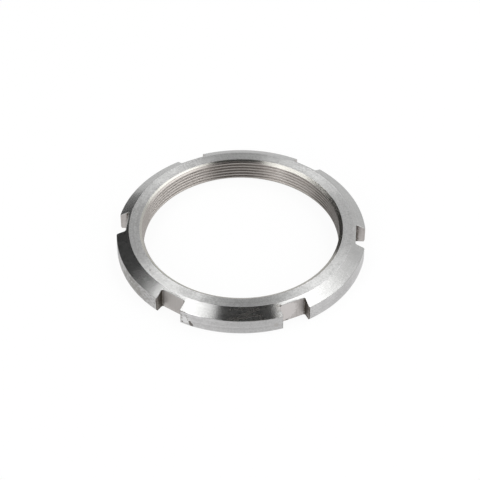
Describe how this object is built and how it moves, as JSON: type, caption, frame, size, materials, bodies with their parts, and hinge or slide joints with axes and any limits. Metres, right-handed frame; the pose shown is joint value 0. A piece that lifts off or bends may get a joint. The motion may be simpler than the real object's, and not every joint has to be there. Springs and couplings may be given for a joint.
{
  "type": "slotted hub nut",
  "caption": "Thin round hub nut with a fine internal thread, evenly spaced slots across its rim, and a cone on its outer side.",
  "frame": {"origin": "on the thread's axis, in the plane of the flat base that the nut rests on", "axes": "+Z along the thread's axis, from the flat base towards the side with the cone; +X through the middle of one slot"},
  "size_m": [0.0994, 0.1, 0.01],
  "materials": {
    "turned_steel": "bare turned and milled steel, fine concentric tool marks, bright"
  },
  "bodies": {
    "root": {"hub_nut": "turned_steel"}
  },
  "joints": []
}
